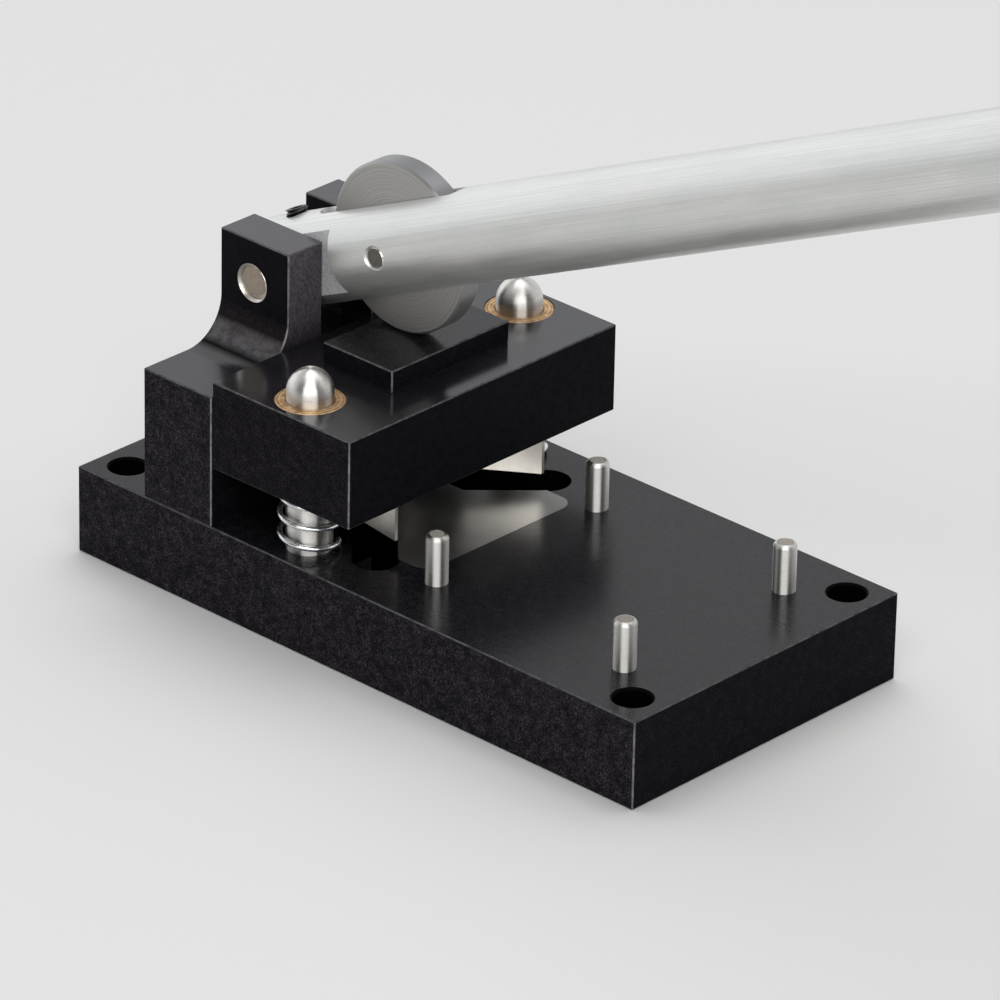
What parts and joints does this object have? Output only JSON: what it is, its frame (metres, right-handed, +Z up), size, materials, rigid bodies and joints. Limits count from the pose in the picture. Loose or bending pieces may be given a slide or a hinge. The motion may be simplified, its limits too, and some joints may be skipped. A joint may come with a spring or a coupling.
{
  "type": "drive cleat notcher",
  "caption": "Bench lever press that notches sheet metal strip: base, ears, round lever with roller, sliding plate on sprung posts, punch and die.",
  "frame": {"origin": "middle of the base plate's underside", "axes": "+Z up, +X towards the end where the strip goes in and the lever's free end, +Y to the far side as the strip goes in from the right"},
  "size_m": [0.4956, 0.1016, 0.2966],
  "materials": {
    "blackened_steel": "black oxide over ground steel, satin",
    "blackened_block": "black oxide over milled steel, satin, slightly brown",
    "lever_aluminium": "drawn bar, satin",
    "ground_steel": "ground, satin bright",
    "punch_steel": "hardened and ground, warm grey",
    "turned_steel": "turned faces with fine rings",
    "bronze": "plain bearing bronze",
    "zinc_wire": "bright zinc plate on spring wire",
    "black_screw": "black oxide alloy screw"
  },
  "bodies": {
    "base": {"base_plate": "blackened_steel", "pivot_block": "blackened_block", "pivot_block_screws": "black_screw", "guide_post_near": "ground_steel", "guide_post_far": "ground_steel", "return_spring_near": "zinc_wire", "return_spring_far": "zinc_wire", "strip_guide_pins": "ground_steel", "die_insert": "ground_steel", "die_screws": "black_screw"},
    "punch_slide": {"punch_plate": "blackened_steel", "guide_bush_near": "bronze", "guide_bush_far": "bronze", "punch": "punch_steel", "punch_screws": "black_screw", "wear_pad": "blackened_steel", "wear_pad_screws": "black_screw"},
    "lever": {"lever_bar": "lever_aluminium", "pivot_pin": "ground_steel", "lever_set_screw": "black_screw", "roller_axle": "ground_steel"},
    "roller": {"roller": "turned_steel"}
  },
  "joints": [
    {"name": "lever_swing", "type": "hinge", "parent": "base", "child": "lever", "pos_m": [-0.0643, 0, 0.08285], "axis": [0, 1, 0], "range_deg": [0, 17.09]},
    {"name": "plate_slide", "type": "slide", "parent": "base", "child": "punch_slide", "axis": [0, 0, 1], "range_m": [-0.0111, 0], "stiffness_N_per_m": 11200, "springref_m": 0.0065, "deforming": ["return_spring_near", "return_spring_far"]},
    {"name": "roller_spin", "type": "hinge", "parent": "lever", "child": "roller", "pos_m": [-0.02892, 0, 0.09866], "axis": [0, 1, 0], "continuous": true}
  ],
  "couplings": [
    {"joint": "plate_slide", "follows": "lever_swing", "m_per_rad": -0.037196}
  ]
}
